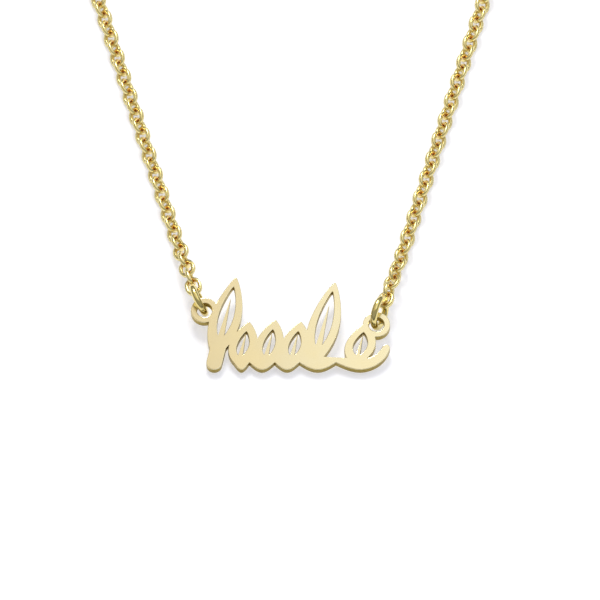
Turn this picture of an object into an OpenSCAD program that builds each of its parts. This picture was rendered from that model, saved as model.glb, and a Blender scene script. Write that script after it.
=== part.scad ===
// Pierced plate necklace, laid out as a whole loop: plate, two jump rings, two chain sides and a clasp.
// Millimetres, +Z up. It rests on a surface at z = 0. +Y runs from the plate to the clasp.

/* [Nameplate] */
// Length of the pierced plate, from the outside of the left eye to the tip of the tail
plate_len = 27.4; // [26:0.2:29]
// Height of the tallest leaf above the lower edge
plate_h = 14.2; // [13.6:0.1:15]
// Thickness of the plate
plate_t = 1.2; // [1:0.1:1.3]
// Angle at which the plate leans back over the jump rings
plate_tilt = 9.5; // [9:0.25:10.5]
// Sideways slant of the leaves from upright
leaf_slant = 13; // [11:1:15]
// Width of metal left round the opening of each leaf
leaf_band = 1.15; // [1:0.05:1.25]
// Width of the midrib of the tallest leaf, at its foot
rib_w = 1.1; // [0.9:0.1:1.2]
// Width of the stem that joins the leaves
stem_w = 1.7; // [1.4:0.1:2]
// Depth of the notches in the lower edge
notch = 1.1; // [0.7:0.1:1.3]
// Width of the tail at its tip
tail_w = 1.1; // [0.9:0.1:1.4]

/* [Eyes and jump rings] */
// Outside diameter of the eyes at both ends of the plate
eye_od = 3.8; // [3.6:0.1:4.2]
// Bore of the eyes
eye_bore = 2.15; // [2.15:0.05:2.4]
// Outside diameter of the jump rings
ring_od = 5; // [4.9:0.1:5.4]
// Wire diameter of the jump rings
ring_wire = 0.96; // [0.9:0.02:0.96]

/* [Chain] */
// Outside length of one link
link_len = 2.84; // [2.8:0.02:3]
// Outside width of one link
link_w = 2.42; // [2.36:0.02:2.6]
// Thickness of the link's wall, in the plane of the link
link_wall = 0.43; // [0.37:0.02:0.43]
// Depth of the link, across its plane
link_depth = 0.52; // [0.44:0.02:0.52]
// Play between two links pulled straight
link_play = 0.26; // [0.26:0.01:0.32]
// Radius of the round part of the loop
loop_r = 43; // [40:0.5:44]
// Distance of the loop's centre from the lower edge of the plate
loop_y = 128; // [122:1:132]
// Length over which the chain comes down from a jump ring to the surface
drop_run = 11; // [11:0.5:14]

/* [Clasp] */
// Outside diameter of the spring ring clasp
clasp_od = 5.7; // [5.4:0.1:6]
// Wire diameter of the clasp
clasp_wire = 0.95; // [0.85:0.05:0.95]
// Outside diameter of the clasp's fixed eye
clasp_eye_od = 3.3; // [3.3:0.05:3.5]
// Wire diameter of the clasp's fixed eye
clasp_eye_wire = 0.7; // [0.6:0.05:0.7]
// Length of the thumb piece of the clasp
thumb_len = 1; // [0.8:0.1:1.4]
// Clearance between a link's end and the wire that it holds
hook_gap = 0.19; // [0.18:0.01:0.21]

/* [Hidden] */

// Points along each side of a leaf or an arc
steps = 20;
mid_y = (loop_y + loop_r + clasp_od / 2) / 2;

// Leaves of the spray. Columns: foot along the plate from its middle and width (shares of plate_len); base,
// tip and start of the opening (shares of plate_h).
FOOT = 0;
WIDE = 1;
BASE = 2;
TIP = 3;
OPENS = 4;
leaves = [
    [-0.395, 0.161, 0.14, 1.00, 0.33],
    [-0.272, 0.143, 0.05, 0.52, 0.14],
    [-0.141, 0.143, 0.05, 0.54, 0.14],
    [-0.010, 0.143, 0.05, 0.52, 0.14],
    [ 0.112, 0.161, 0.05, 0.95, 0.22],
    [ 0.322, 0.155, 0.05, 0.51, 0.15]
];
// The stem is deeper from its start to this leaf, to close the gaps between the feet
web_leaf = 4;
// Height of a midrib, as a share of its leaf's height
rib_rise = 0.66;
// Notches of the lower edge and the lowest point of the tail, as shares of plate_len from its middle
notches = [-0.288, -0.208, -0.080, 0.045, 0.230];
tail_x = 0.355;
tail_r = 0.137 * plate_len;
tail_end = -20;

// Eyes and the rings in them, left and right. Columns: side, eye along the plate (share of plate_len), eye
// above the lower edge (share of plate_h), the ring's turn and lean in degrees, its slack and side shift
// (shares of ring_wire), which way the chain's first link is rolled.
SIDE = 0;
EYE_X = 1;
EYE_Y = 2;
TURN = 3;
LEAN = 4;
SLACK = 5;
SHIFT = 6;
FIRST = 7;
eyes = [
    [-1, -0.4354, 0.641, 19.3, 18.4, 0.02, -0.05, 1],
    [ 1,  0.4354, 0.486, -22.1, 9.3, 0.10, -0.13, -1]
];

ring_r = (ring_od - ring_wire) / 2;
clasp_r = (clasp_od - clasp_wire) / 2;
clasp_eye_r = (clasp_eye_od - clasp_eye_wire) / 2;
// The clasp's ring and its eye share a wire's width where they are soldered
clasp_span = clasp_r + clasp_eye_r + (clasp_wire + clasp_eye_wire) / 2 - 0.25;
clasp_half = (clasp_r + clasp_span + clasp_eye_r) / 2;

link_r = (link_w - link_wall) / 2;
link_bar = link_len - link_w;
pitch = link_len - 2 * link_wall - link_play;
// Links lie turned by link_roll to either side; the last ones stand up by more to go round the clasp
link_roll = 45;
ring_twist = 25;
clasp_twist = 40;
twist_links = 6;
function stands(roll) = link_w / 2 * sin(roll) + link_depth / 2 * cos(roll);
rest_z = stands(link_roll);
clasp_z = stands(link_roll + clasp_twist * 2 / 3) + 0.05;
end_run = 16;

// Pierced plate

function leaf_half(t, w) = w / 2 * pow(sin(180 * pow(t, 0.85)), 0.8);

module leaf(x, low, high, w) {
    lean = tan(leaf_slant);
    rise = high - low;
    function at(i, side) =
        let (t = (1 - cos(180 * i / steps)) / 2, y = low + t * rise)
        [x + lean * y + side * leaf_half(t, w), y];
    polygon(concat([for (i = [0:steps]) at(i, 1)], [for (i = [steps - 1:-1:1]) at(i, -1)]));
}

module leaf_solid(k)
    leaf(leaves[k][FOOT] * plate_len, leaves[k][BASE] * plate_h, leaves[k][TIP] * plate_h,
         leaves[k][WIDE] * plate_len);

module leaf_opening(k)
    leaf(leaves[k][FOOT] * plate_len, leaves[k][OPENS] * plate_h, leaves[k][TIP] * plate_h - leaf_band * 1.35,
         leaves[k][WIDE] * plate_len - leaf_band * 2);

// A midrib rises from the foot of the opening and ends in a point. Its foot narrows with the leaf's height.
module rib(k) {
    lean = tan(leaf_slant);
    x = leaves[k][FOOT] * plate_len;
    low = leaves[k][OPENS] * plate_h;
    high = low + (leaves[k][TIP] * plate_h - low) * rib_rise;
    w = rib_w * sqrt(leaves[k][TIP] - leaves[k][OPENS]);
    polygon([[x + lean * low - w / 2, low], [x + lean * low + w / 2, low], [x + lean * high, high]]);
}

// The stem hangs in arcs between the notches; the last arc runs on into the tail
stem_ends = concat(notches, [2 * tail_x - notches[len(notches) - 1]]);
stem_s = concat(
    [for (k = [0:len(notches) - 2], i = [0:9]) [k, i / 10]],
    [for (i = [0:5]) [len(notches) - 1, i / 10]]
);
function stem_x(p) = plate_len * (stem_ends[p[0]] * (1 - p[1]) + stem_ends[p[0] + 1] * p[1]);
function stem_low(p) = notch * (1 - sin(180 * p[1]));

module stem() {
    step_x = leaves[web_leaf][FOOT] * plate_len + stem_w * 0.3;
    polygon(concat(
        [for (p = stem_s) [stem_x(p), stem_low(p)]],
        [[stem_x(stem_s[len(stem_s) - 1]), stem_w], [step_x, stem_w * 1.2], [step_x, stem_w * 1.75],
         [stem_x(stem_s[0]), stem_w * 1.75]]
    ));
}

// The first leaf runs down into a stalk with a round foot
module stalk() {
    w = stem_w * 1.3;
    translate([leaves[0][FOOT] * plate_len + tan(leaf_slant) * w / 2, w / 2]) rotate(-leaf_slant) {
        circle(d = w, $fn = 48);
        translate([-w / 2, 0]) square([w, plate_h * 0.35]);
    }
}

module tail() {
    x = tail_x * plate_len;
    y = stem_w / 2 + tail_r;
    function at(a, r) = [x + r * cos(a), y + r * sin(a)];
    function half(i) = (stem_w + (tail_w - stem_w) * i / steps) / 2;
    function turn(i) = -92 + (tail_end + 92) * i / steps;
    polygon(concat(
        [for (i = [0:steps]) at(turn(i), tail_r + half(i))],
        [for (i = [steps:-1:0]) at(turn(i), tail_r - half(i))]
    ));
    translate(at(tail_end, tail_r)) circle(d = tail_w, $fn = 32);
}

module nameplate_outline()
    difference() {
        union() {
            difference() {
                union() {
                    for (k = [0:len(leaves) - 1]) leaf_solid(k);
                    stalk();
                    stem();
                    tail();
                }
                for (k = [0:len(leaves) - 1]) leaf_opening(k);
            }
            for (k = [0:len(leaves) - 1]) rib(k);
            for (e = eyes) translate([e[EYE_X] * plate_len, e[EYE_Y] * plate_h]) circle(d = eye_od, $fn = 64);
        }
        for (e = eyes) translate([e[EYE_X] * plate_len, e[EYE_Y] * plate_h]) circle(d = eye_bore, $fn = 64);
    }

module nameplate()
    color("gold") translate([0, -mid_y, 0]) rotate([plate_tilt, 0, 0]) linear_extrude(plate_t)
        nameplate_outline();

// Jump rings. Each passes through the middle of its eye and stands on the surface.

function eye_at(e) =
    let (y = e[EYE_Y] * plate_h)
    [e[EYE_X] * plate_len, y * cos(plate_tilt) - plate_t / 2 * sin(plate_tilt),
     y * sin(plate_tilt) + plate_t / 2 * cos(plate_tilt)];
function ring_side(e) = [cos(e[TURN]), sin(e[TURN]), 0];
function ring_out(e) = [-sin(e[TURN]), cos(e[TURN]), 0];
function ring_up(e) = cross(cos(e[LEAN]) * ring_side(e) + [0, 0, sin(e[LEAN])], ring_out(e));
function ring_at(e) =
    let (up = ring_up(e), z = ring_wire / 2 + ring_r * up[2], v = (eye_at(e)[2] - z) / up[2])
    eye_at(e) + (sqrt(ring_r * ring_r - v * v) - e[SLACK] * ring_wire) * ring_out(e) - v * up
    + e[SHIFT] * ring_wire * ring_side(e);

module wire_ring(r, wire)
    rotate_extrude($fn = 96) translate([r, 0]) circle(d = wire, $fn = 48);

module jump_ring(e)
    color("goldenrod") translate([0, -mid_y, 0]) translate(ring_at(e)) rotate([0, 90 - e[LEAN], e[TURN]])
        wire_ring(ring_r, ring_wire);

// Chain. Both sides are worked out on the right and the left one is mirrored. A side leaves its jump ring at
// the outermost point, runs straight up to the round part of the loop and follows it to the clasp.

function hook(e) = let (p = ring_at(e) + ring_r * ring_out(e)) [e[SIDE] * p[0], p[1], p[2]];
function far(e) = norm([hook(e)[0], hook(e)[1] - loop_y]);
function heading(e) = atan2(loop_y - hook(e)[1], -hook(e)[0]) - asin(loop_r / far(e));
function straight(e) = sqrt(far(e) * far(e) - loop_r * loop_r);
clasp_turn = 90 - asin(clasp_half / loop_r);
function side_len(e) = straight(e) + loop_r * (clasp_turn - heading(e) + 90) * PI / 180;

function ease(u, run) = u > run ? 0 : u < 0 ? 1 : (1 + cos(180 * u / run)) / 2;
function height(e, u) =
    rest_z + (hook(e)[2] - rest_z) * ease(u, drop_run) + (clasp_z - rest_z) * ease(side_len(e) - u, end_run);
function slope(e, u) = atan((height(e, u + 0.05) - height(e, u - 0.05)) / 0.1);
function on_route(e, u) =
    u < straight(e)
    ? [hook(e)[0] + u * cos(heading(e)), hook(e)[1] + u * sin(heading(e)), height(e, u)]
    : let (a = heading(e) - 90 + (u - straight(e)) / loop_r * 180 / PI)
      [loop_r * cos(a), loop_y + loop_r * sin(a), height(e, u)];

// Joints between links, a pitch apart along the route. The first lies inside the jump ring's wire and the
// last inside the clasp's.
hook_u = link_len / 2 - link_wall - hook_gap - pitch / 2;
first_u = hook_u - ring_wire / 2;
function last_u(e) = side_len(e) - hook_u + (e[SIDE] < 0 ? clasp_eye_wire : clasp_wire) / 2;
// The drop adds this much to the way along the surface
function drop_extra(e) = PI * PI * pow(hook(e)[2] - rest_z, 2) / (16 * drop_run);
function way(e) = last_u(e) - first_u + drop_extra(e);
function links(e) = ceil(way(e) / pitch);
function joints(e) =
    let (step = way(e) / links(e))
    [
        for (i = 0, u = first_u; i <= links(e); u = u + step * cos(slope(e, u + step / 2)), i = i + 1)
            on_route(e, u)
    ];

// Links are rolled to either side in turn. Near the ring and the clasp they turn to face the wire they hold.
function fade(i) = max(0, 1 - i / twist_links);
function roll(e, i) =
    let (way = i % 2 == 0 ? 1 : -1, last = links(e) - 1)
    e[FIRST] * (way * link_roll - ring_twist * fade(i)
                + (last % 2 == 0 ? 1 : -1) * clasp_twist * fade(last - i));

module link()
    for (s = [0, 180]) rotate([0, 0, s]) {
        translate([link_bar / 2, 0, 0]) rotate([0, 0, -90]) rotate_extrude(angle = 180, $fn = 36)
            translate([link_r, 0]) square([link_wall, link_depth], center = true);
        translate([0, link_r, 0]) cube([link_bar, link_wall, link_depth], center = true);
    }

module chain_side(e) {
    at = joints(e);
    color("gold") translate([0, -mid_y, 0]) for (i = [0:links(e) - 1]) {
        d = at[i + 1] - at[i];
        translate((at[i] + at[i + 1]) / 2)
            rotate([0, -asin(d[2] / norm(d)), atan2(d[1], d[0])]) rotate([roll(e, i), 0, 0]) link();
    }
}

// Clasp: a closed spring ring with its fixed eye and thumb piece, held flat between the last links

module clasp()
    color("goldenrod") translate([0, loop_y + loop_r * sin(clasp_turn) - mid_y, clasp_z]) {
        translate([clasp_half - clasp_r, 0, 0]) wire_ring(clasp_r, clasp_wire);
        translate([clasp_eye_r - clasp_half, 0, 0]) wire_ring(clasp_eye_r, clasp_eye_wire);
        translate([clasp_half - clasp_r, 0, 0]) rotate([0, 0, 50]) translate([clasp_r, 0, 0])
            rotate([0, 90, 0]) cylinder(d = clasp_wire * 0.6, h = clasp_wire / 2 + thumb_len, $fn = 24);
    }

nameplate();
jump_ring(eyes[0]);  // jump_ring_left
jump_ring(eyes[1]);  // jump_ring_right
mirror([1, 0, 0]) chain_side(eyes[0]);  // chain_left
chain_side(eyes[1]);  // chain_right
clasp();
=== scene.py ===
"""Looks of the pierced plate necklace: gold sheet, wire rings, cable chain and clasp on a light table.

Lengths are written in millimetres and turned into metres when a mesh is made. The necklace lies in
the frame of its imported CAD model.
"""

import logging
import math
from dataclasses import dataclass, field
from enum import Enum
from typing import Any, Sequence

import bpy
import numpy as np
from mathutils import Matrix, Vector


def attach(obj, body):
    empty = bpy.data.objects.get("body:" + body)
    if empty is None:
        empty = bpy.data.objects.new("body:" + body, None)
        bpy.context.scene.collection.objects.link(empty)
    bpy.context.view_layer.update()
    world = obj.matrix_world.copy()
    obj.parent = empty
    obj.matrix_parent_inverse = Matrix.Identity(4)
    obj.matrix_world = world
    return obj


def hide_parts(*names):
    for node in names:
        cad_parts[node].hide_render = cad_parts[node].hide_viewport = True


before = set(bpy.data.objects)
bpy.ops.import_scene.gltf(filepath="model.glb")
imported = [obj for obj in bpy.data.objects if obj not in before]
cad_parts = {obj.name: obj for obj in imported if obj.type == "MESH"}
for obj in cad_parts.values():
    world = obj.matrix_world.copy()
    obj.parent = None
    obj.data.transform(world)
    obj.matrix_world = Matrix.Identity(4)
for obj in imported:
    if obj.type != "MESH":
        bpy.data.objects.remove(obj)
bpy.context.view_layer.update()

LOG = logging.getLogger("necklace")
MM = 0.001


class Side(Enum):
    """Which end of the plate a piece hangs from. The value is the sign of its x."""

    LEFT = -1
    RIGHT = 1


# Colour and materials


def srgb(code: str) -> tuple[float, float, float, float]:
    """Turns a colour code into the renderer's linear values.

    Each channel c is c / 12.92 below 0.04045 and ((c + 0.055) / 1.055) ** 2.4 above it.

    Args:
        code: six hexadecimal digits after a hash sign.

    Returns:
        Red, green, blue and an alpha of 1.
    """
    c = np.array([int(code[i : i + 2], 16) for i in (1, 3, 5)]) / 255
    lin = np.where(c <= 0.04045, c / 12.92, ((c + 0.055) / 1.055) ** 2.4)
    return (float(lin[0]), float(lin[1]), float(lin[2]), 1.0)


def add_node(
    tree: bpy.types.NodeTree, kind: str, inputs: dict[Any, Any] | None = None, **settings: Any
) -> bpy.types.Node:
    """Adds one shader node, sets it up and links what it is given.

    Args:
        tree: the node tree.
        kind: the node's type.
        inputs: value or output socket for each input, by name or number.
        **settings: properties of the node.

    Returns:
        The new node.
    """
    node = tree.nodes.new(kind)
    for key, value in settings.items():
        setattr(node, key, value)
    for key, value in (inputs or {}).items():
        if isinstance(value, bpy.types.NodeSocket):
            tree.links.new(value, node.inputs[key])
        else:
            node.inputs[key].default_value = value
    return node


def blank_material(name: str) -> bpy.types.Material:
    """Makes a material whose node tree is empty.

    Args:
        name: material name.

    Returns:
        The material.
    """
    material = bpy.data.materials.new(name)
    material.use_nodes = True
    material.node_tree.nodes.clear()
    return material


@dataclass(frozen=True)
class GoldFinish:
    """A gold surface: alloy colour, polish, the fine marks of how it was made and, if given, painted warm
    shade in the joints of chain links.

    Args:
        name: material name.
        colour: alloy colour, as a colour code.
        tarnish: the alloy's colour where it is a little duller.
        rough: roughness where it is best polished.
        rough_spread: how much rougher the duller spots are.
        cloud_mm: size of the duller spots.
        grain_mm: spacing of the fine marks.
        grain_height_mm: height of the fine marks.
        stretch: how many times the marks are drawn out along X.
        joint_shade: colour of the painted warm shade in the links' joints, where U and V are 1: the deeper
            tone the links reflect into each other.
        rough_span: noise at which the duller spots begin to be rougher and are fully so.
        tint_span: noise at which they begin to be darker and are fully so.
        joint_shade_span: U at which the painted joint shade begins and is full.
    """

    name: str
    colour: str
    tarnish: str
    rough: float
    rough_spread: float
    cloud_mm: float
    grain_mm: float
    grain_height_mm: float
    stretch: float = 1.0
    joint_shade: str | None = None
    rough_span: tuple[float, float] = (0.35, 0.75)
    tint_span: tuple[float, float] = (0.35, 0.8)
    joint_shade_span: tuple[float, float] = (0.45, 0.95)

    def build(self) -> bpy.types.Material:
        """Makes the material.

        Returns:
            The material, with its pattern in object coordinates.
        """
        material = blank_material(self.name)
        tree = material.node_tree
        place = add_node(tree, "ShaderNodeTexCoord").outputs["Object"]
        cloud = add_node(
            tree,
            "ShaderNodeTexNoise",
            {"Vector": place, "Scale": 1 / (self.cloud_mm * MM), "Detail": 3.0, "Roughness": 0.6},
        )
        drawn = add_node(
            tree, "ShaderNodeMapping", {"Vector": place, "Scale": (1 / self.stretch, 1.0, 1.0)}
        )
        grain = add_node(
            tree,
            "ShaderNodeTexNoise",
            {"Vector": drawn.outputs[0], "Scale": 1 / (self.grain_mm * MM), "Detail": 2.0},
        )
        tint = self.tint(tree, cloud.outputs[0])
        rough = add_node(
            tree,
            "ShaderNodeMapRange",
            {
                "Value": cloud.outputs[0],
                "From Min": self.rough_span[0],
                "From Max": self.rough_span[1],
                "To Min": self.rough,
                "To Max": self.rough + self.rough_spread,
            },
        )
        bump = add_node(
            tree,
            "ShaderNodeBump",
            {"Height": grain.outputs[0], "Strength": 1.0, "Distance": self.grain_height_mm * MM},
        )
        metal = add_node(
            tree,
            "ShaderNodeBsdfPrincipled",
            {
                "Base Color": tint,
                "Metallic": 1.0,
                "Roughness": rough.outputs[0],
                "Normal": bump.outputs[0],
            },
        )
        add_node(tree, "ShaderNodeOutputMaterial", {"Surface": metal.outputs[0]})
        return material

    def tint(self, tree: bpy.types.NodeTree, spots: bpy.types.NodeSocket) -> bpy.types.NodeSocket:
        """Mixes the two alloy colours by the spots, and the painted warm shade of the joints over them.

        Args:
            tree: the node tree.
            spots: noise between 0 and 1.

        Returns:
            The colour socket.
        """
        ramp = add_node(tree, "ShaderNodeValToRGB", {"Fac": spots})
        low, high = ramp.color_ramp.elements
        low.position, high.position = self.tint_span
        low.color, high.color = srgb(self.colour), srgb(self.tarnish)
        if self.joint_shade is None:
            return ramp.outputs[0]
        # Painted shade: towards the links' ends on the inside of the wire, where U and V near 1, the colour
        # turns to the warm, deeper joint tone.
        place = add_node(tree, "ShaderNodeTexCoord").outputs["UV"]
        near = add_node(tree, "ShaderNodeSeparateXYZ", {0: place})
        end = add_node(
            tree,
            "ShaderNodeMapRange",
            {
                "Value": near.outputs[0],
                "From Min": self.joint_shade_span[0],
                "From Max": self.joint_shade_span[1],
                "To Max": near.outputs[1],
            },
            interpolation_type="SMOOTHSTEP",
        )
        # The mix node takes its two colours at inputs 6 and 7 and gives the mixed one at output 2.
        colours = {0: end.outputs[0], 6: ramp.outputs[0], 7: srgb(self.joint_shade)}
        return add_node(tree, "ShaderNodeMix", colours, data_type="RGBA").outputs[2]


@dataclass(frozen=True)
class TableFinish:
    """White opal acrylic, lit from below so that shadows on it stay pale.

    Args:
        name: material name.
        colour: the acrylic's colour, as a colour code.
        tooth_mm: size of its sandblasted tooth.
        glow: light that comes through it.
        glow_colour: colour of that light.
        rough: its roughness.
        specular: strength of its gloss.
        tooth_height_mm: height of the tooth.
        tooth_strength: how much of the tooth the light shows.
    """

    name: str
    colour: str
    tooth_mm: float
    glow: float
    glow_colour: str
    rough: float = 0.9
    specular: float = 0.2
    tooth_height_mm: float = 0.01
    tooth_strength: float = 0.2

    def build(self) -> bpy.types.Material:
        """Makes the material.

        Returns:
            The material.
        """
        material = blank_material(self.name)
        tree = material.node_tree
        place = add_node(tree, "ShaderNodeTexCoord").outputs["Object"]
        tooth = add_node(
            tree, "ShaderNodeTexNoise", {"Vector": place, "Scale": 1 / (self.tooth_mm * MM)}
        )
        bump = add_node(
            tree,
            "ShaderNodeBump",
            {
                "Height": tooth.outputs[0],
                "Strength": self.tooth_strength,
                "Distance": self.tooth_height_mm * MM,
            },
        )
        acrylic = add_node(
            tree,
            "ShaderNodeBsdfPrincipled",
            {
                "Base Color": srgb(self.colour),
                "Roughness": self.rough,
                "Normal": bump.outputs[0],
                "Specular IOR Level": self.specular,
                "Emission Color": srgb(self.glow_colour),
                "Emission Strength": self.glow,
            },
        )
        add_node(tree, "ShaderNodeOutputMaterial", {"Surface": acrylic.outputs[0]})
        return material


@dataclass
class Palette:
    """Every material of the scene, made once.

    Args:
        sheet: face of the plate.
        edge: its cut walls, darkened by painted shade.
        wire: jump rings and clasp.
        chain: links, with painted warm shade in their joints.
        table: surface under the necklace.
    """

    sheet: bpy.types.Material = field(init=False)
    edge: bpy.types.Material = field(init=False)
    wire: bpy.types.Material = field(init=False)
    chain: bpy.types.Material = field(init=False)
    table: bpy.types.Material = field(init=False)

    def __post_init__(self) -> None:
        """Makes the materials. In the render a pixel is 0.14 mm wide."""
        # Rolled sheet, satin finished along its length: a pale, even face whose gloss is spread
        # by hairlines. The real ones lie 0.02 mm apart, too fine to show. They are drawn 0.12 mm
        # apart and six times as long.
        self.sheet = GoldFinish(
            "gold_14k_rolled_sheet_satin",
            colour="#F4E9C1",
            tarnish="#F1E2B1",
            rough=0.16,
            rough_spread=0.04,
            cloud_mm=6.0,
            grain_mm=0.12,
            grain_height_mm=0.0004,
            stretch=6.0,
        ).build()
        # The beam leaves a rougher wall with fine ripples across it. Its darker colour is painted shade,
        # for
        # the dark that the walls reflect: a quiet outline round the bright face. Its ripples of 0.03 mm are
        # drawn at 0.08 mm to show close up.
        self.edge = GoldFinish(
            "gold_14k_laser_cut_edge_painted_shade",
            colour="#B09A48",
            tarnish="#96822F",
            rough=0.32,
            rough_spread=0.12,
            cloud_mm=0.5,
            grain_mm=0.08,
            grain_height_mm=0.004,
        ).build()
        # Drawn and buffed wire: sharp highlights along it. The draw marks of 0.01 mm are far too
        # fine to show, so they are drawn at 0.1 mm, where they only soften the highlights.
        self.wire = GoldFinish(
            "gold_14k_drawn_wire_polished",
            colour="#EBDB96",
            tarnish="#DDC878",
            rough=0.14,
            rough_spread=0.07,
            cloud_mm=0.8,
            grain_mm=0.1,
            grain_height_mm=0.0006,
        ).build()
        # Tumbling polishes the outside of the links: bright rims. Their joints, where they bear on one
        # another, get painted warm shade for the deeper tone the links reflect into each other. The dents
        # of the tumbler's shot, of 0.02 mm, are drawn at 0.1 mm.
        self.chain = GoldFinish(
            "gold_14k_chain_wire_tumbled_joint_shade",
            colour="#F6E8A7",
            tarnish="#EAD687",
            rough=0.25,
            rough_spread=0.06,
            cloud_mm=0.6,
            grain_mm=0.1,
            grain_height_mm=0.0003,
            joint_shade="#D8A24C",
        ).build()
        # Sandblasted opal acrylic over lamps: a white without gloss whose shadows stay pale. Grit
        # of 0.15 mm is drawn at 0.4 mm.
        self.table = TableFinish(
            "white_opal_acrylic_sandblasted",
            colour="#DEDEE0",
            tooth_mm=0.4,
            glow=0.50,
            glow_colour="#EEF0FA",
        ).build()


# Meshes


def make_object(
    name: str,
    points: np.ndarray,
    faces: np.ndarray,
    materials: Sequence[bpy.types.Material],
    face_material: np.ndarray | None = None,
    flat: np.ndarray | None = None,
    triangles: np.ndarray | None = None,
    sharp_deg: float | None = None,
) -> bpy.types.Object:
    """Makes an object at the origin from whole arrays.

    Args:
        name: object name.
        points: vertices in millimetres, one row each.
        faces: four-sided faces, one row of vertex numbers each.
        materials: the object's materials.
        face_material: material number of each face, the triangles after the others.
        flat: true for each face that is shaded flat, the triangles after the others.
        triangles: three-sided faces, one row each.
        sharp_deg: edges that turn by more than this are left sharp.

    Returns:
        The object, linked into the scene.
    """
    lists = faces.tolist() + (triangles.tolist() if triangles is not None else [])
    mesh = bpy.data.meshes.new(name)
    mesh.from_pydata((points * MM).tolist(), [], lists)
    mesh.update()
    if sharp_deg is not None:
        mesh.set_sharp_from_angle(angle=math.radians(sharp_deg))
    smooth = np.ones(len(lists), bool) if flat is None else ~flat
    mesh.polygons.foreach_set("use_smooth", smooth)
    if face_material is not None:
        mesh.polygons.foreach_set("material_index", face_material.astype(np.int32))
    for material in materials:
        mesh.materials.append(material)
    obj = bpy.data.objects.new(name, mesh)
    bpy.context.scene.collection.objects.link(obj)
    return obj


def tube_faces(around: int, across: int) -> np.ndarray:
    """Faces of a closed tube whose points are stored station by station.

    Args:
        around: stations along the tube.
        across: points at each station.

    Returns:
        Four-sided faces, one row of vertex numbers each.
    """
    i, j = np.meshgrid(np.arange(around), np.arange(across), indexing="ij")
    i2, j2 = (i + 1) % around, (j + 1) % across
    corners = (i * across + j, i2 * across + j, i2 * across + j2, i * across + j2)
    return np.stack(corners, axis=-1).reshape(-1, 4)


def joined_copy(name: str) -> tuple[np.ndarray, np.ndarray]:
    """Reads a CAD node's loose triangles and joins their corners, which leaves the node as it is.

    Corners that agree to a thousandth of a millimetre are one. A sliver triangle that this brings
    down to a line is left out.

    Args:
        name: the CAD node.

    Returns:
        Vertices in millimetres and triangles.
    """
    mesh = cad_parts[name].data
    mesh.calc_loop_triangles()
    co = np.empty(len(mesh.vertices) * 3)
    mesh.vertices.foreach_get("co", co)
    tris = np.empty(len(mesh.loop_triangles) * 3, np.int32)
    mesh.loop_triangles.foreach_get("vertices", tris)
    co = co.reshape(-1, 3) / MM
    _, first, same = np.unique(np.round(co, 3), axis=0, return_index=True, return_inverse=True)
    joined = same.reshape(-1)[tris].reshape(-1, 3)
    return co[first], joined[np.all(joined != np.roll(joined, 1, axis=1), axis=1)]


# Sizes shared by the pieces


@dataclass(frozen=True)
class Sizes:
    """The CAD model's sizes, in millimetres and degrees.

    Args:
        plate_len: length of the plate, from the left eye to the tip of the tail.
        plate_h: height of its tallest leaf above the lower edge.
        plate_t: its thickness.
        plate_tilt: how far it leans back over the jump rings.
        ring_od: outside diameter of the jump rings.
        ring_wire: their wire.
        link_len: outside length of a link.
        link_w: its outside width.
        link_wall: width of its wire, in the plane of the link.
        link_depth: depth of its wire, across that plane.
        link_play: play between two links pulled straight.
        link_roll: how far the links lie turned to either side.
        ring_twist: further turn of the first link, which goes round the jump ring.
        clasp_twist: further turn of the last link, which goes round the clasp.
        twist_links: number of links over which either turn fades.
        hook_gap: clearance between a link's end and the wire that it holds.
        loop_r: radius of the round part of the loop.
        loop_y: distance of its centre from the lower edge of the plate.
        drop_run: length over which the chain comes down from a jump ring.
        end_run: length over which it rises to the clasp.
        clasp_od: outside diameter of the clasp's ring.
        clasp_wire: its wire.
        clasp_eye_od: outside diameter of the clasp's fixed eye.
        clasp_eye_wire: its wire.
        solder: width that the clasp's ring and its eye share.
        clasp_lift: clearance that lifts the clasp above the height its links give it.
    """

    plate_len: float = 27.4
    plate_h: float = 14.2
    plate_t: float = 1.2
    plate_tilt: float = 9.5
    ring_od: float = 5.0
    ring_wire: float = 0.96
    link_len: float = 2.84
    link_w: float = 2.42
    link_wall: float = 0.43
    link_depth: float = 0.52
    link_play: float = 0.26
    link_roll: float = 45.0
    ring_twist: float = 25.0
    clasp_twist: float = 40.0
    twist_links: int = 6
    hook_gap: float = 0.19
    loop_r: float = 43.0
    loop_y: float = 128.0
    drop_run: float = 11.0
    end_run: float = 16.0
    clasp_od: float = 5.7
    clasp_wire: float = 0.95
    clasp_eye_od: float = 3.3
    clasp_eye_wire: float = 0.7
    solder: float = 0.25
    clasp_lift: float = 0.05

    @property
    def mid_y(self) -> float:
        """Distance of the frame's origin from the plate's lower edge."""
        return (self.loop_y + self.loop_r + self.clasp_od / 2) / 2

    @property
    def pitch(self) -> float:
        """Length that one link adds to the chain."""
        return self.link_len - 2 * self.link_wall - self.link_play

    def stands(self, roll: float) -> float:
        """Height of a link's middle when it lies on the surface, rolled by this angle."""
        a = math.radians(roll)
        return self.link_w / 2 * math.sin(a) + self.link_depth / 2 * math.cos(a)

    @property
    def clasp_z(self) -> float:
        """Height of the clasp's middle, held up by the last links."""
        return self.stands(self.link_roll + self.clasp_twist * 2 / 3) + self.clasp_lift

    @property
    def clasp_half(self) -> float:
        """Half the distance between the two wires of the clasp that the chain holds.

        The whole is the ring's and the eye's own widths between wire middles, and the step from one
        to the other, which is both wires' radii less the solder.

        Returns:
            The distance in millimetres.
        """
        ring = (self.clasp_od - self.clasp_wire) / 2
        eye = (self.clasp_eye_od - self.clasp_eye_wire) / 2
        return ring + eye + ((self.clasp_wire + self.clasp_eye_wire) / 2 - self.solder) / 2


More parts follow.
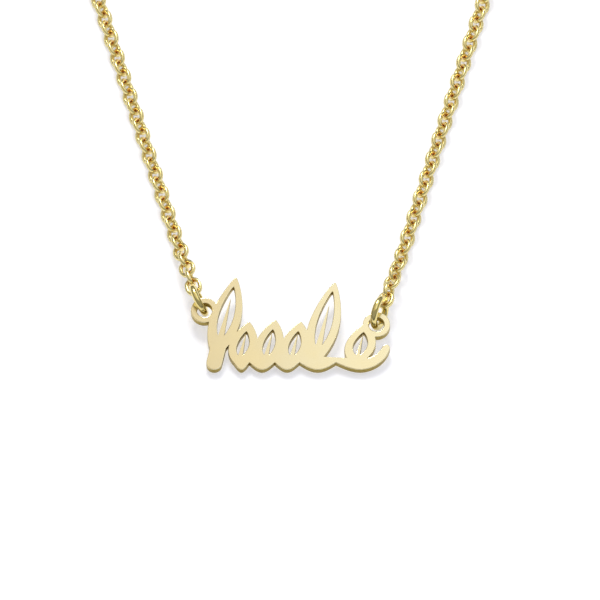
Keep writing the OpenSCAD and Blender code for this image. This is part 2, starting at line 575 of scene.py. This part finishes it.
@dataclass(frozen=True)
class RingPlace:
    """How a jump ring hangs in its eye.

    Args:
        side: left or right.
        eye_x: eye along the plate, as a share of its length.
        eye_y: eye above the lower edge, as a share of the plate's height.
        turn: turn of the ring's axis about the vertical, in degrees.
        lean: rise of the ring's axis, in degrees.
        slack: how far the ring is short of pulling tight, in wire widths.
        shift: shift of the ring along its axis, in wire widths.
        first: which way the first link of the chain is rolled.
    """

    side: Side
    eye_x: float
    eye_y: float
    turn: float
    lean: float
    slack: float
    shift: float
    first: int

    def centre(self, s: Sizes) -> np.ndarray:
        """Middle of the ring, with the plate's lower edge at y = 0.

        The ring stands on the surface and its wire passes through the middle of the eye: seen
        from the ring's middle the eye lies v down and the root of (r * r - v * v) out.

        Args:
            s: the shared sizes.

        Returns:
            The point in millimetres.
        """
        tilt = math.radians(s.plate_tilt)
        y = self.eye_y * s.plate_h
        eye = np.array(
            [
                self.eye_x * s.plate_len,
                y * math.cos(tilt) - s.plate_t / 2 * math.sin(tilt),
                y * math.sin(tilt) + s.plate_t / 2 * math.cos(tilt),
            ]
        )
        r = (s.ring_od - s.ring_wire) / 2
        up = self.up()
        v = (eye[2] - s.ring_wire / 2 - r * up[2]) / up[2]
        reach = math.sqrt(r * r - v * v) - self.slack * s.ring_wire
        return eye + reach * self.out() - v * up + self.shift * s.ring_wire * self.along()

    def along(self) -> np.ndarray:
        """Level direction nearest the ring's axis."""
        a = math.radians(self.turn)
        return np.array([math.cos(a), math.sin(a), 0.0])

    def out(self) -> np.ndarray:
        """Level direction in the ring's plane, away from the plate."""
        a = math.radians(self.turn)
        return np.array([-math.sin(a), math.cos(a), 0.0])

    def up(self) -> np.ndarray:
        """Steepest direction in the ring's plane."""
        a = math.radians(self.lean)
        return np.cross(math.cos(a) * self.along() + np.array([0, 0, math.sin(a)]), self.out())

    def hook(self, s: Sizes) -> np.ndarray:
        """Outermost point of the ring's wire, where the chain holds it, mirrored to the right."""
        p = self.centre(s) + (s.ring_od - s.ring_wire) / 2 * self.out()
        return p * np.array([self.side.value, 1, 1])


PLACES = {
    Side.LEFT: RingPlace(
        Side.LEFT, eye_x=-0.4354, eye_y=0.641, turn=19.3, lean=18.4, slack=0.02, shift=-0.05, first=1
    ),
    Side.RIGHT: RingPlace(
        Side.RIGHT, eye_x=0.4354, eye_y=0.486, turn=-22.1, lean=9.3, slack=0.10, shift=-0.13, first=-1
    ),
}


# The necklace


@dataclass
class Nameplate:
    """The pierced sheet, cut from the CAD outline with softened edges.

    Args:
        sizes: the shared sizes.
        palette: the materials.
        soft_mm: radius of the rubbed edges.
        steps: steps of the rounding.
        sharp_deg: walls that meet at more than this keep a hard edge.
        flush: how far a corner may lie below the front and still belong to it.
        short: edges shorter than this count for less in the inward directions.
    """

    sizes: Sizes
    palette: Palette
    soft_mm: float = 0.09
    steps: int = 5
    sharp_deg: float = 20.0
    flush: float = 0.02
    short: float = 0.1

    def build(self) -> bpy.types.Object:
        """Makes the plate.

        The CAD sheet's front gives the outline: edges that belong to one front triangle only. The
        outline is swept down the side wall. Ring k of the sweep is moved into the metal by
        soft * (1 - sin a) and down from the front by soft * (1 - cos a), with a from 0 to 90 degrees,
        and the same, upside down, at the back.

        Returns:
            The plate.
        """
        points, tris = joined_copy("nameplate")
        tilt = math.radians(self.sizes.plate_tilt)
        normal = np.array([0.0, -math.sin(tilt), math.cos(tilt)])
        level = points @ normal
        front = level.max()
        top = np.all(np.abs(level[tris] - front) < self.flush, axis=1)
        used, index = np.unique(tris[top], return_inverse=True)
        ring = points[used]
        cap = index.reshape(-1, 3)
        edge = self.outline(cap)
        inward = self.inward(ring, edge, normal)

        a = np.radians(np.linspace(0, 90, self.steps + 1))
        inset = self.soft_mm * (1 - np.sin(a))
        down = self.soft_mm * (1 - np.cos(a))
        inset = np.concatenate([inset, inset[::-1]])
        down = np.concatenate([down, self.sizes.plate_t - down[::-1]])
        rows = ring + inset[:, None, None] * inward - down[:, None, None] * normal
        n, m = len(ring), len(inset)
        k = (np.arange(m - 1) * n)[:, None]
        start, end = edge[:, 0][None, :] + k, edge[:, 1][None, :] + k
        walls = np.stack([end, start, start + n, end + n], axis=-1).reshape(-1, 4)
        wall_row = np.repeat(np.arange(m - 1), len(edge))
        caps = np.concatenate([cap, cap[:, ::-1] + (m - 1) * n])
        kind = np.concatenate([np.where(wall_row == self.steps, 1, 0), np.zeros(len(caps), int)])
        flat = np.concatenate([np.zeros(len(walls), bool), np.ones(len(caps), bool)])
        obj = make_object(
            "nameplate_sheet",
            rows.reshape(-1, 3),
            walls,
            [self.palette.sheet, self.palette.edge],
            kind,
            flat,
            caps,
            self.sharp_deg,
        )
        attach(obj, "root")
        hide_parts("nameplate")
        LOG.info("nameplate: %d outline edges, %d faces", len(edge), len(obj.data.polygons))
        return obj

    @staticmethod
    def outline(cap: np.ndarray) -> np.ndarray:
        """Finds the front's outline.

        Args:
            cap: triangles of the front.

        Returns:
            Start and end vertex of each outline edge, with the metal on its left.
        """
        edges = np.concatenate([cap[:, [0, 1]], cap[:, [1, 2]], cap[:, [2, 0]]])
        keys = np.sort(edges, axis=1)
        _, index, count = np.unique(keys, axis=0, return_inverse=True, return_counts=True)
        return edges[count[index.reshape(-1)] == 1]

    def inward(self, ring: np.ndarray, edge: np.ndarray, normal: np.ndarray) -> np.ndarray:
        """Direction from each outline vertex into the metal, lengthened at corners.

        It is the mean m of the two edges' inward normals divided by m . m, at most twice as long as
        m. A short edge counts for as much less as it is shorter than short.

        Args:
            ring: outline vertices.
            edge: outline edges.
            normal: the front's normal.

        Returns:
            One direction a vertex.
        """
        along = ring[edge[:, 1]] - ring[edge[:, 0]]
        length = np.linalg.norm(along, axis=1)[:, None]
        weight = np.minimum(length, self.short)
        side = np.cross(normal, along / np.maximum(length, 1e-9)) * weight
        total, share = np.zeros_like(ring), np.zeros((len(ring), 1))
        for end in (0, 1):
            np.add.at(total, edge[:, end], side)
            np.add.at(share, edge[:, end], weight)
        mean = total / np.maximum(share, 1e-9)
        return mean / np.maximum((mean**2).sum(1), 0.5)[:, None]


@dataclass
class WireRing:
    """A torus of polished wire with the hairline of its closed seam.

    Args:
        name: object name.
        centre: its middle, in the frame.
        axis: its axis.
        start: direction from the middle to the seam, square to the axis.
        radius: radius of the wire's middle line.
        wire: wire diameter.
        seam: depth of the seam's hairline.
        seam_half: half its width.
        around: points round the ring.
        across: points round the wire.
    """

    name: str
    centre: np.ndarray
    axis: np.ndarray
    start: np.ndarray
    radius: float
    wire: float
    seam: float = 0.05
    seam_half: float = 0.05
    around: int = 96
    across: int = 24

    def arrays(self) -> tuple[np.ndarray, np.ndarray]:
        """Vertices and faces of the ring.

        A point at angles (u, v) is centre + (R + w cos v) * (cos u, sin u) in the ring's plane
        + w sin v along the axis. The wire's radius w falls by the seam's depth next to u = 0.

        Returns:
            Vertices in millimetres and four-sided faces.
        """
        axis = self.axis / np.linalg.norm(self.axis)
        east = self.start - (self.start @ axis) * axis
        east /= np.linalg.norm(east)
        north = np.cross(axis, east)
        lip = self.seam_half / self.radius
        rest = np.linspace(2 * lip, 2 * np.pi - 2 * lip, self.around - 3)
        u = np.concatenate([[0, lip], rest, [2 * np.pi - lip]])
        v = np.linspace(0, 2 * np.pi, self.across, endpoint=False)
        w = np.full(self.around, self.wire / 2)
        w[0] -= self.seam
        out = np.cos(u)[:, None] * east + np.sin(u)[:, None] * north
        reach = self.radius + w[:, None] * np.cos(v)
        rise = w[:, None] * np.sin(v)
        rows = self.centre + reach[:, :, None] * out[:, None, :] + rise[:, :, None] * axis
        return rows.reshape(-1, 3), tube_faces(self.around, self.across)


@dataclass
class JumpRings:
    """Both jump rings, each through its eye and its chain's first link.

    Args:
        sizes: the shared sizes.
        palette: the materials.
    """

    sizes: Sizes
    palette: Palette

    def build(self) -> list[bpy.types.Object]:
        """Makes the rings.

        Returns:
            The left and the right ring.
        """
        s = self.sizes
        made = []
        for side, place in PLACES.items():
            ring = WireRing(
                f"jump_ring_wire_{side.name.lower()}",
                place.centre(s) - np.array([0, s.mid_y, 0]),
                np.cross(place.out(), place.up()),
                -place.up(),
                (s.ring_od - s.ring_wire) / 2,
                s.ring_wire,
            )
            obj = make_object(ring.name, *ring.arrays(), [self.palette.wire])
            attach(obj, "root")
            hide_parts(f"jump_ring_{side.name.lower()}")
            made.append(obj)
            LOG.info("jump ring %s: %d faces", side.name.lower(), len(obj.data.polygons))
        return made


# Corners of a link's section: inside low, outside low, outside high and inside high.
CORNERS = 4
INSIDE = (0, 3)


@dataclass
class LinkShape:
    """One link's coarse cage, which a subdivision rounds.

    Args:
        sizes: the shared sizes.
        stations: points along the link.
        crease: how square the wire's corners stay.
        wall: width of the wire in the link's plane. It fills the play that the CAD links keep.
        spare: how far the cage stays inside the CAD link's outline.
        levels: steps of the subdivision.
    """

    sizes: Sizes
    stations: int = 12
    crease: float = 0.6
    wall: float = 0.49
    spare: float = 0.012
    levels: int = 1

    def angles(self) -> np.ndarray:
        """Angle of each station, from half a step past the lower bar's middle."""
        return (np.arange(self.stations) + 0.5) / self.stations * 2 * np.pi - np.pi / 2

    def cage(self) -> tuple[np.ndarray, np.ndarray]:
        """Vertices and faces of the cage.

        The path is a circle of radius r, parted along x by the link's straight bars; its section
        is a rectangle whose outer side follows the CAD link. The subdivision draws a circle of n
        points in to (2 + cos(360 / n)) / 3 of its radius, so the cage is larger by as much.

        Returns:
            Vertices, four to a station, and faces.
        """
        s = self.sizes
        bar = s.link_len - s.link_w
        grow = 3 / (2 + math.cos(2 * math.pi / self.stations))
        a = self.angles()
        out = np.stack([np.cos(a), np.sin(a), np.zeros_like(a)], axis=-1)
        middle = ((s.link_w - self.wall) / 2 - self.spare) * grow * out
        middle[:, 0] += np.sign(np.cos(a)) * bar / 2
        half = np.array([self.wall, s.link_depth - self.spare]) / 2
        section = np.array([[-1, -1], [1, -1], [1, 1], [-1, 1]]) * half
        rows = (
            middle[:, None, :]
            + section[None, :, :1] * out[:, None, :]
            + section[None, :, 1:] * np.array([0.0, 0.0, 1.0])
        )
        return rows.reshape(-1, 3), tube_faces(self.stations, CORNERS)


@dataclass
class ChainSide:
    """One side of the cable chain, from its jump ring to the clasp.

    Args:
        sizes: the shared sizes.
        palette: the materials.
        place: how its jump ring hangs.
        samples: points on the route that measure its true length.
    """

    sizes: Sizes
    palette: Palette
    place: RingPlace
    samples: int = 40001

    def route(self, u: np.ndarray) -> np.ndarray:
        """Points of the chain's middle line, on the right and with the plate's lower edge at y = 0.

        From the ring it runs straight along the tangent of the loop's circle, then round the
        circle to the clasp. Near the ring and the clasp it comes down as half a cosine wave.

        Args:
            u: level distances from the ring's wire.

        Returns:
            One point a row.
        """
        s, hook = self.sizes, self.place.hook(self.sizes)
        heading, straight = self.tangent()
        turn = heading - math.pi / 2 + np.maximum(u - straight, 0) / s.loop_r
        run = np.minimum(u, straight)
        x = np.where(u < straight, hook[0] + run * math.cos(heading), s.loop_r * np.cos(turn))
        y = np.where(u < straight, hook[1] + run * math.sin(heading), s.loop_y + s.loop_r * np.sin(turn))
        rest = s.stands(s.link_roll)
        z = rest + (hook[2] - rest) * self.ease(u, s.drop_run)
        z = z + (s.clasp_z - rest) * self.ease(self.length() - u, s.end_run)
        return np.stack([x, y, z], axis=-1)

    @staticmethod
    def ease(u: np.ndarray, run: float) -> np.ndarray:
        """Half a cosine wave: 1 up to u = 0 and 0 from u = run."""
        return (1 + np.cos(np.pi * np.clip(u / run, 0, 1))) / 2

    def tangent(self) -> tuple[float, float]:
        """The straight line from the jump ring that touches the loop's circle.

        With far the way to the circle's middle, it turns from that way by the angle whose sine is
        R / far, and is as long as the root of (far * far - R * R).

        Returns:
            Its heading in radians and its length.
        """
        s, hook = self.sizes, self.place.hook(self.sizes)
        far = math.hypot(hook[0], hook[1] - s.loop_y)
        heading = math.atan2(s.loop_y - hook[1], -hook[0]) - math.asin(s.loop_r / far)
        return heading, math.sqrt(far**2 - s.loop_r**2)

    def length(self) -> float:
        """Level length from the jump ring's wire to the clasp's wire.

        Returns:
            The tangent's length and the arc's, in millimetres.
        """
        s = self.sizes
        heading, straight = self.tangent()
        end = math.pi / 2 - math.asin(s.clasp_half / s.loop_r)
        return straight + s.loop_r * (end - heading + math.pi / 2)

    def joints(self) -> np.ndarray:
        """Joints between links, evenly spaced along the route's true length.

        The first lies inside the jump ring's wire and the last inside the clasp's.

        Returns:
            One point a row.
        """
        s = self.sizes
        hook_u = s.link_len / 2 - s.link_wall - s.hook_gap - s.pitch / 2
        wire = s.clasp_eye_wire if self.place.side is Side.LEFT else s.clasp_wire
        u = np.linspace(hook_u - s.ring_wire / 2, self.length() - hook_u + wire / 2, self.samples)
        way = np.concatenate([[0], np.cumsum(np.linalg.norm(np.diff(self.route(u), axis=0), axis=1))])
        count = math.ceil(way[-1] / s.pitch)
        return self.route(np.interp(np.linspace(0, way[-1], count + 1), way, u))

    def rolls(self, count: int) -> np.ndarray:
        """Roll of each link: to either side in turn, eased to face the ring and the clasp.

        Args:
            count: number of links.

        Returns:
            The rolls in radians.
        """
        s = self.sizes
        i = np.arange(count)
        sign = np.where(i % 2 == 0, 1.0, -1.0)
        last = 1 if (count - 1) % 2 == 0 else -1
        ring = s.ring_twist * np.clip(1 - i / s.twist_links, 0, 1)
        clasp = s.clasp_twist * last * np.clip(1 - (count - 1 - i) / s.twist_links, 0, 1)
        return np.radians(self.place.first * (sign * s.link_roll - ring + clasp))

    def build(self) -> bpy.types.Object:
        """Makes the chain: one cage, copied to every link's place by matrices.

        A corner (x, y, z) of the cage goes to the link's middle + x along the chain + y across
        the link + z through it.

        Returns:
            The chain as one object.
        """
        joints = self.joints()
        along = np.diff(joints, axis=0)
        along /= np.linalg.norm(along, axis=1)[:, None]
        count = len(along)
        left = np.cross([0.0, 0.0, 1.0], along)
        left /= np.linalg.norm(left, axis=1)[:, None]
        over = np.cross(along, left)
        roll = self.rolls(count)[:, None]
        flat = np.cos(roll) * left + np.sin(roll) * over
        thick = np.cos(roll) * over - np.sin(roll) * left
        shape = LinkShape(self.sizes)
        cage, faces = shape.cage()
        centre = (joints[1:] + joints[:-1]) / 2
        turned = np.stack([along, flat, thick], axis=1)
        points = centre[:, None, :] + np.einsum("vk,nkc->nvc", cage, turned)
        points[..., 1] -= self.sizes.mid_y
        faces = faces[None] + (np.arange(count) * len(cage))[:, None, None]
        if self.place.side is Side.LEFT:
            points[..., 0] *= -1
            faces = faces[..., ::-1]
        side = self.place.side.name.lower()
        obj = make_object(
            f"chain_links_{side}", points.reshape(-1, 3), faces.reshape(-1, 4), [self.palette.chain]
        )
        self.square(obj, shape)
        self.bearing(obj, shape)
        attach(obj, "root")
        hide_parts(f"chain_{side}")
        LOG.info("chain %s: %d links, %d cage faces", side, count, len(obj.data.polygons))
        return obj

    @staticmethod
    def bearing(obj: bpy.types.Object, shape: LinkShape) -> None:
        """Gives the chain its UVs, which mask the painted shade in the joints: U is 1 at a link's ends, V
        is 1 on the inside of its wire.

        Args:
            obj: the chain.
            shape: the cage of its links.
        """
        mesh = obj.data
        corner = np.empty(len(mesh.loops), np.int32)
        mesh.loops.foreach_get("vertex_index", corner)
        near = np.abs(np.cos(shape.angles()))[corner // CORNERS % shape.stations]
        inside = np.isin(corner % CORNERS, INSIDE).astype(float)
        uv = mesh.uv_layers.new(name="bearing")
        uv.data.foreach_set("uv", np.stack([near, inside], axis=-1).astype(np.float32).ravel())

    @staticmethod
    def square(obj: bpy.types.Object, shape: LinkShape) -> None:
        """Creases the edges along the wire and rounds the cage.

        Args:
            obj: the chain.
            shape: the cage of its links.
        """
        mesh = obj.data
        ends = np.empty(len(mesh.edges) * 2, np.int32)
        mesh.edges.foreach_get("vertices", ends)
        corner = ends.reshape(-1, 2) % CORNERS
        weight = np.where(corner[:, 0] == corner[:, 1], shape.crease, 0.0).astype(np.float32)
        mesh.attributes.new("crease_edge", "FLOAT", "EDGE").data.foreach_set("value", weight)
        rounding = obj.modifiers.new("rounding", "SUBSURF")
        rounding.levels = rounding.render_levels = shape.levels


@dataclass
class Clasp:
    """The spring ring clasp: its ring, fixed eye and thumb piece, soldered into one.

    Args:
        palette: the materials.
        sharp_deg: faces that meet at more than this keep a hard edge, as at the solder.
    """

    palette: Palette
    sharp_deg: float = 35.0

    def build(self) -> bpy.types.Object:
        """Makes the clasp, a smooth copy of the CAD solid.

        Returns:
            The clasp.
        """
        points, tris = joined_copy("clasp")
        none = np.empty((0, 4), int)
        obj = make_object(
            "clasp_spring_ring", points, none, [self.palette.wire], triangles=tris, sharp_deg=self.sharp_deg
        )
        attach(obj, "root")
        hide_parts("clasp")
        LOG.info("clasp: %d faces", len(obj.data.polygons))
        return obj


# Surroundings


@dataclass(frozen=True)
class Softbox:
    """A rectangular light, seen as an even card in the gold.

    Args:
        name: light name.
        place: its middle, in millimetres.
        aim: the point it faces.
        size: width and height, in millimetres.
        power: watts.
        colour: colour code.
    """

    name: str
    place: tuple[float, float, float]
    aim: tuple[float, float, float]
    size: tuple[float, float]
    power: float
    colour: str

    def hang(self) -> None:
        """Hangs the light, with its width level."""
        data = bpy.data.lights.new(self.name, "AREA")
        data.shape = "RECTANGLE"
        data.size, data.size_y = self.size[0] * MM, self.size[1] * MM
        data.energy = self.power
        data.color = srgb(self.colour)[:3]
        lamp = bpy.data.objects.new(self.name, data)
        back = (Vector(self.place) - Vector(self.aim)).normalized()
        across = Vector((0, 1, 0)).cross(back).normalized()
        lamp.location = Vector(self.place) * MM
        lamp.rotation_euler = Matrix((across, back.cross(across), back)).transposed().to_euler()
        bpy.context.scene.collection.objects.link(lamp)


SOFTBOXES = (
    Softbox(
        "overhead_softbox",
        place=(204, 0, 430),
        aim=(204, 0, 0),
        size=(410, 510),
        power=0.51,
        colour="#F4F8FF",
    ),
    Softbox(
        "warm_card",
        place=(-201, 0, 430),
        aim=(-201, 0, 0),
        size=(400, 510),
        power=0.23,
        colour="#FFDC92",
    ),
    Softbox(
        "back_key",
        place=(-60, 380, 560),
        aim=(0, -60, 0),
        size=(240, 240),
        power=2.4,
        colour="#FFFFFF",
    ),
)


@dataclass
class Studio:
    """A light table in a pale room, and the softboxes over it.

    The plate's face mirrors the sky above and in front of it. A cool softbox stands over its right
    end and a warm card over its left one, so the face pales from left to right. The key behind
    draws the highlights on the wire.

    Args:
        palette: the materials.
        reach: half the width of the table.
        walls: light of the room's walls, level with the table.
        ceiling: light of its ceiling.
        cornice: height of the ceiling's edge, as the sine of its angle above the table.
    """

    palette: Palette
    reach: float = 900.0
    walls: float = 0.16
    ceiling: float = 0.42
    cornice: float = 0.5

    def build(self) -> None:
        """Lays the table, hangs the lights and keeps the table's white as it is."""
        r = self.reach
        table = make_object(
            "light_table",
            np.array([[-r, -r, 0], [r, -r, 0], [r, r, 0], [-r, r, 0]], float),
            np.array([[0, 1, 2, 3]]),
            [self.palette.table],
        )
        self.room()
        for box in SOFTBOXES:
            box.hang()
        bpy.context.scene.view_settings.view_transform = "Standard"
        LOG.info("studio: light table and %d softboxes", len(SOFTBOXES))

    def room(self) -> None:
        """Makes the room round the table: dim walls that pass smoothly into a pale ceiling."""
        world = bpy.data.worlds.new("studio_room")
        world.use_nodes = True
        tree = world.node_tree
        tree.nodes.clear()
        way = add_node(tree, "ShaderNodeTexCoord").outputs["Generated"]
        split = add_node(tree, "ShaderNodeSeparateXYZ", {0: way})
        level = add_node(
            tree,
            "ShaderNodeMapRange",
            {
                "Value": split.outputs[2],
                "From Min": 0.0,
                "From Max": self.cornice,
                "To Min": self.walls,
                "To Max": self.ceiling,
            },
            interpolation_type="SMOOTHSTEP",
        )
        air = add_node(
            tree, "ShaderNodeBackground", {"Color": srgb("#F5F6F8"), "Strength": level.outputs[0]}
        )
        add_node(tree, "ShaderNodeOutputWorld", {"Surface": air.outputs[0]})
        bpy.context.scene.world = world


@dataclass(frozen=True)
class Camera:
    """The photo's camera: a long lens above and in front of the plate.

    Args:
        target: the point in the middle of the picture.
        elevation: angle above the horizon, in degrees.
        width: width of the picture at the target.
        lens: focal length.
        sensor: width of the sensor.
        clip: nearest and farthest distance that is drawn, in metres.
    """

    target: tuple[float, float, float] = (1.32, -75.300, 1.0)
    elevation: float = 55.5
    width: float = 83.33
    lens: float = 1500.0
    sensor: float = 36.0
    clip: tuple[float, float] = (0.01, 20.0)

    def build(self) -> bpy.types.Object:
        """Sets up the scene's camera.

        Returns:
            The camera.
        """
        data = bpy.data.cameras.new("camera")
        data.lens, data.sensor_width = self.lens, self.sensor
        e = math.radians(self.elevation)
        back = Vector((0, -math.cos(e), math.sin(e)))
        cam = bpy.data.objects.new("camera", data)
        cam.location = (Vector(self.target) + back * (self.width * self.lens / self.sensor)) * MM
        cam.rotation_euler = (-back).to_track_quat("-Z", "Y").to_euler()
        data.clip_start, data.clip_end = self.clip
        bpy.context.scene.collection.objects.link(cam)
        bpy.context.scene.camera = cam
        return cam


def main() -> None:
    """Builds the scene piece by piece."""
    logging.basicConfig(level=logging.INFO, format="%(name)s: %(message)s")
    sizes, palette = Sizes(), Palette()
    Nameplate(sizes, palette).build()
    JumpRings(sizes, palette).build()
    for place in PLACES.values():
        ChainSide(sizes, palette, place).build()
    Clasp(palette).build()
    Studio(palette).build()
    Camera().build()
    bpy.context.view_layer.update()


if __name__ == "__main__":
    main()
